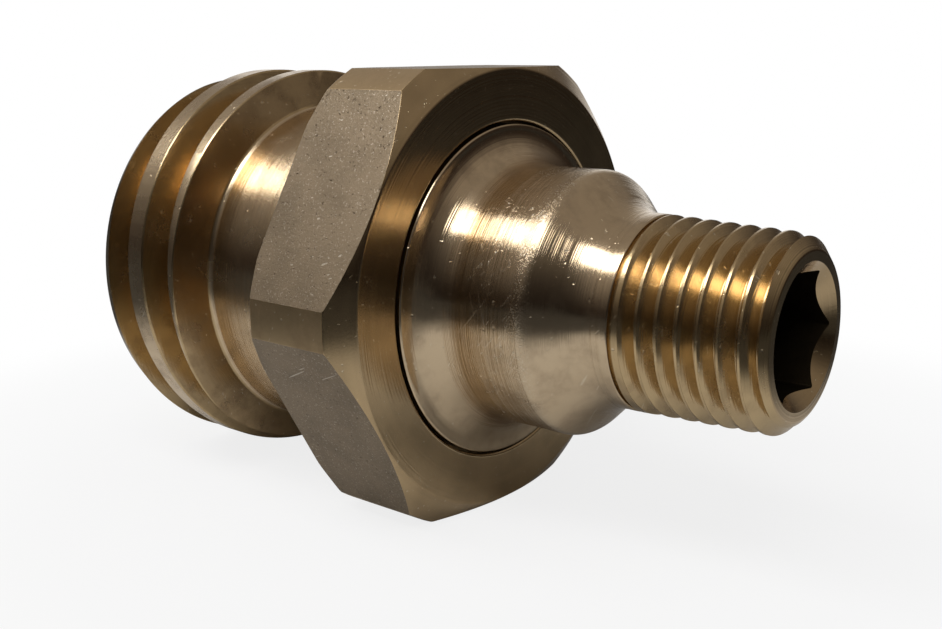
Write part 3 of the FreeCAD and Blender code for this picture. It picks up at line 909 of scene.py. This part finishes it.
class FITTING_OT_connector(bpy.types.Operator):
    """Makes the end connector with its flange, barrel, shoulder, tapered thread and Allen socket"""

    bl_idname = "fitting.connector"
    bl_label = "End connector"

    def execute(self, context):
        sizes = context.scene.fitting_sizes
        piece = piece_from(self.blank(sizes), "connector_shell")
        carve(piece, piece_from(self.groove(sizes), "pipe_groove"))
        socket = hexagonal_cutter(
            sizes.socket_across, PIPE_END - SOCKET_DEPTH, PIPE_END + CLEAR, SOCKET_ROUNDING)
        carve(piece, piece_from(socket, "socket"))
        pen = Outline(PIPE_END + CLEAR, SOCKET_MOUTH + CLEAR)
        pen.to(PIPE_END - SOCKET_MOUTH + COUNTERSINK_TIP, COUNTERSINK_TIP)
        pen.to(PIPE_END + CLEAR, COUNTERSINK_TIP)
        carve(piece, piece_from(pen.spun(AROUND_COUNTERSINK), "countersink"))
        finish_zones(piece, self.zone, {
            "polished": surface("polished_brass", turned_side(
                "polished", rough=0.12, line=0.0008, blotch=0.3, spread=0.017, crease=BARREL_END / MM)),
            "thread": surface("pipe_thread_brass", turned_side(
                "golden", rough=0.16, line=0.002, blotch=0.3, spread=0.010)),
            "faced": surface("end_face_brass", turned_face_brass),
            # The socket's brass is dimmed to a tenth: painted shade in the deep socket
            "bore": surface("socket_brass_painted_shade", bore_brass_painted_shade(0.1)),
        })
        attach(piece, "fitting")
        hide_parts("end_connector")
        return {"FINISHED"}

    @staticmethod
    def crest(sizes, station):
        """The tapered thread's crest radius at a station."""
        return sizes.pipe_radius + (PIPE_END - station) * PIPE_TAPER

    def blank(self, sizes):
        """The turned blank, from the shank to the end face, with its gas passage."""
        soft = sizes.softness
        rim = FLANGE_FACE - FLANGE_EDGE
        cove = sizes.barrel_radius + FLANGE_FILLET
        foot = self.crest(sizes, PIPE_START)
        slope = math.radians(SHOULDER_SLOPE)
        tangents = (SHOULDER_ROUNDING + SHOULDER_FILLET) * math.tan(slope / 2)
        fall = (sizes.barrel_radius - foot) / math.tan(slope)
        fillet = BARREL_END + fall + tangents
        relief_end = PIPE_START + PIPE_RELIEF_WIDTH
        chamfer = PIPE_END - PIPE_END_CHAMFER
        pocket = SHANK_END + POCKET_DEPTH
        pen = Outline(SHANK_END, CHAMBER)
        pen.to(SHANK_END, SHANK, soft)
        pen.to(SEAL_BACK, SHANK)
        pen.to(SEAL_BACK, SEAL_GROOVE)
        pen.to(FLANGE_SEAT, SEAL_GROOVE)
        pen.to(FLANGE_SEAT, sizes.flange_radius)
        pen.to(rim, sizes.flange_radius)
        pen.arc(rim, sizes.flange_radius - FLANGE_EDGE, -90, EDGE_STEPS)
        pen.to(FLANGE_FACE, cove)
        pen.arc(FLANGE_FACE + FLANGE_FILLET, cove, 90, FILLET_STEPS)
        pen.to(BARREL_END, sizes.barrel_radius)
        pen.arc(BARREL_END, sizes.barrel_radius - SHOULDER_ROUNDING, -SHOULDER_SLOPE, SHOULDER_STEPS)
        pen.to(fillet - SHOULDER_FILLET * math.sin(slope), foot + SHOULDER_FILLET * (1 - math.cos(slope)))
        pen.arc(fillet, foot + SHOULDER_FILLET, SHOULDER_SLOPE, SHOULDER_STEPS)
        pen.to(PIPE_START, foot, soft)
        pen.to(PIPE_START, foot - PIPE_RELIEF_DEPTH)
        pen.to(relief_end, foot - PIPE_RELIEF_DEPTH)
        pen.to(relief_end, self.crest(sizes, relief_end))
        pen.to(chamfer, self.crest(sizes, chamfer))
        pen.to(PIPE_END, PIPE_END_FACE, soft)
        pen.to(PIPE_END, PASSAGE)
        pen.to(pocket + CHAMBER - PASSAGE, PASSAGE, soft)
        pen.to(pocket, CHAMBER, soft)
        return pen.spun()

    def groove(self, sizes):
        """The tapered thread's groove, from beside the shoulder's foot to beyond the end face."""
        pitch = sizes.pipe_pitch
        length = PIPE_END + pitch - PIPE_START - PIPE_RUN_OUT
        turns = length / pitch
        start = PIPE_END + pitch - length
        crest = self.crest(sizes, start)
        flank = math.tan(math.radians(PIPE_FLANK_ANGLE))
        half_width = PIPE_DEPTH * flank + PIPE_ROOT_FLAT / 2
        beyond = (pitch / 2 - half_width) / flank * PIPE_CUTTER_REACH
        mesh = groove_outline(
            start, crest - PIPE_DEPTH, crest, half_width, PIPE_FLANK_ANGLE, beyond, PIPE_EASING)
        turn = math.radians(270 - PIPE_TURN - 360 * turns)
        bmesh.ops.rotate(
            mesh, verts=mesh.verts[:], cent=place(0, 0), matrix=Matrix.Rotation(turn, 3, "X"))
        section = mesh.verts[:] + mesh.edges[:] + mesh.faces[:]
        wind(mesh, section, pitch, turns, round(THREAD_STEPS * turns), -PIPE_TAPER * length)
        bmesh.ops.triangulate(mesh, faces=mesh.faces[:])
        return tidied(mesh)

    @staticmethod
    def zone(station, radius, normal, centre):
        """The finish of a face of the end connector."""
        if station > PIPE_END - COUNTERSINK_REACH and normal.x > 0.4 and radius < PIPE_END_FACE:
            return "faced"
        if station < FLANGE_SEAT + HAIR or radius < SOCKET_MOUTH + HAIR:
            return "bore"
        return "thread" if station > PIPE_START - HAIR else "polished"


class FITTING_OT_valve(bpy.types.Operator):
    """Makes the valve spring and gives the poppet, guide and seals their finishes"""

    bl_idname = "fitting.valve"
    bl_label = "Valve pieces"

    def execute(self, context):
        self.spring()
        valve_brass = surface("valve_brass", turned_side("golden", rough=0.2, line=0.004, blotch=0.2))
        rubber = surface("seal_rubber", seal_rubber, metallic=0.0, centre=(0, 0, 0))
        finishes = {
            "poppet": valve_brass,
            "poppet_guide": valve_brass,
            "poppet_seal": rubber,
            "connector_seal": rubber,
        }
        for node, finish in finishes.items():
            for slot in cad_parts[node].material_slots:
                slot.material = finish
        return {"FINISHED"}

    def spring(self):
        """The valve spring, wound from the wire's round section."""
        low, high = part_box("valve_spring")
        length = high.x - low.x
        rise = length - 2 * SPRING_WIRE
        mesh = bmesh.new()
        centre = place(low.x + SPRING_WIRE - FRONT_FACE, high.z - AXIS_HEIGHT - SPRING_WIRE)
        bmesh.ops.create_circle(
            mesh, cap_ends=True, segments=AROUND_WIRE, radius=SPRING_WIRE,
            matrix=Matrix.Translation(centre))
        section = mesh.verts[:] + mesh.edges[:] + mesh.faces[:]
        wind(mesh, section, rise / SPRING_TURNS, SPRING_TURNS, SPRING_STEPS * SPRING_TURNS)
        piece = piece_from(tidied(mesh), "spring_wire")
        piece.data.materials.append(surface("spring_steel", spring_steel))
        piece.data.shade_smooth()
        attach(piece, "fitting")
        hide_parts("valve_spring")
        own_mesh(piece)


class FITTING_PT_panel(bpy.types.Panel):
    """The fitting's tools"""

    bl_idname = "FITTING_PT_panel"
    bl_label = "Propane adapter fitting"
    bl_space_type = "VIEW_3D"
    bl_region_type = "UI"
    bl_category = "Fitting"

    def draw(self, context):
        layout = self.layout
        for group in ("fitting_sizes", "fitting_colours", "fitting_levels"):
            values = getattr(context.scene, group)
            for name in values.__annotations__:
                layout.prop(values, name)
        for operator in OPERATORS:
            layout.operator(operator.bl_idname)


GROUPS = {
    "fitting_sizes": FittingSizes,
    "fitting_colours": FittingColours,
    "fitting_levels": StudioLevels,
}
OPERATORS = (FITTING_OT_stage, FITTING_OT_body, FITTING_OT_connector, FITTING_OT_valve)


def register():
    for name, group in GROUPS.items():
        bpy.utils.register_class(group)
        setattr(bpy.types.Scene, name, PointerProperty(type=group))
    for operator in OPERATORS:
        bpy.utils.register_class(operator)
    bpy.utils.register_class(FITTING_PT_panel)


def unregister():
    bpy.utils.unregister_class(FITTING_PT_panel)
    for operator in reversed(OPERATORS):
        bpy.utils.unregister_class(operator)
    for name, group in reversed(GROUPS.items()):
        delattr(bpy.types.Scene, name)
        bpy.utils.unregister_class(group)


def main():
    """Builds the scene."""
    register()
    bpy.ops.fitting.stage()
    bpy.ops.fitting.body()
    bpy.ops.fitting.connector()
    bpy.ops.fitting.valve()


if __name__ == "__main__":
    main()
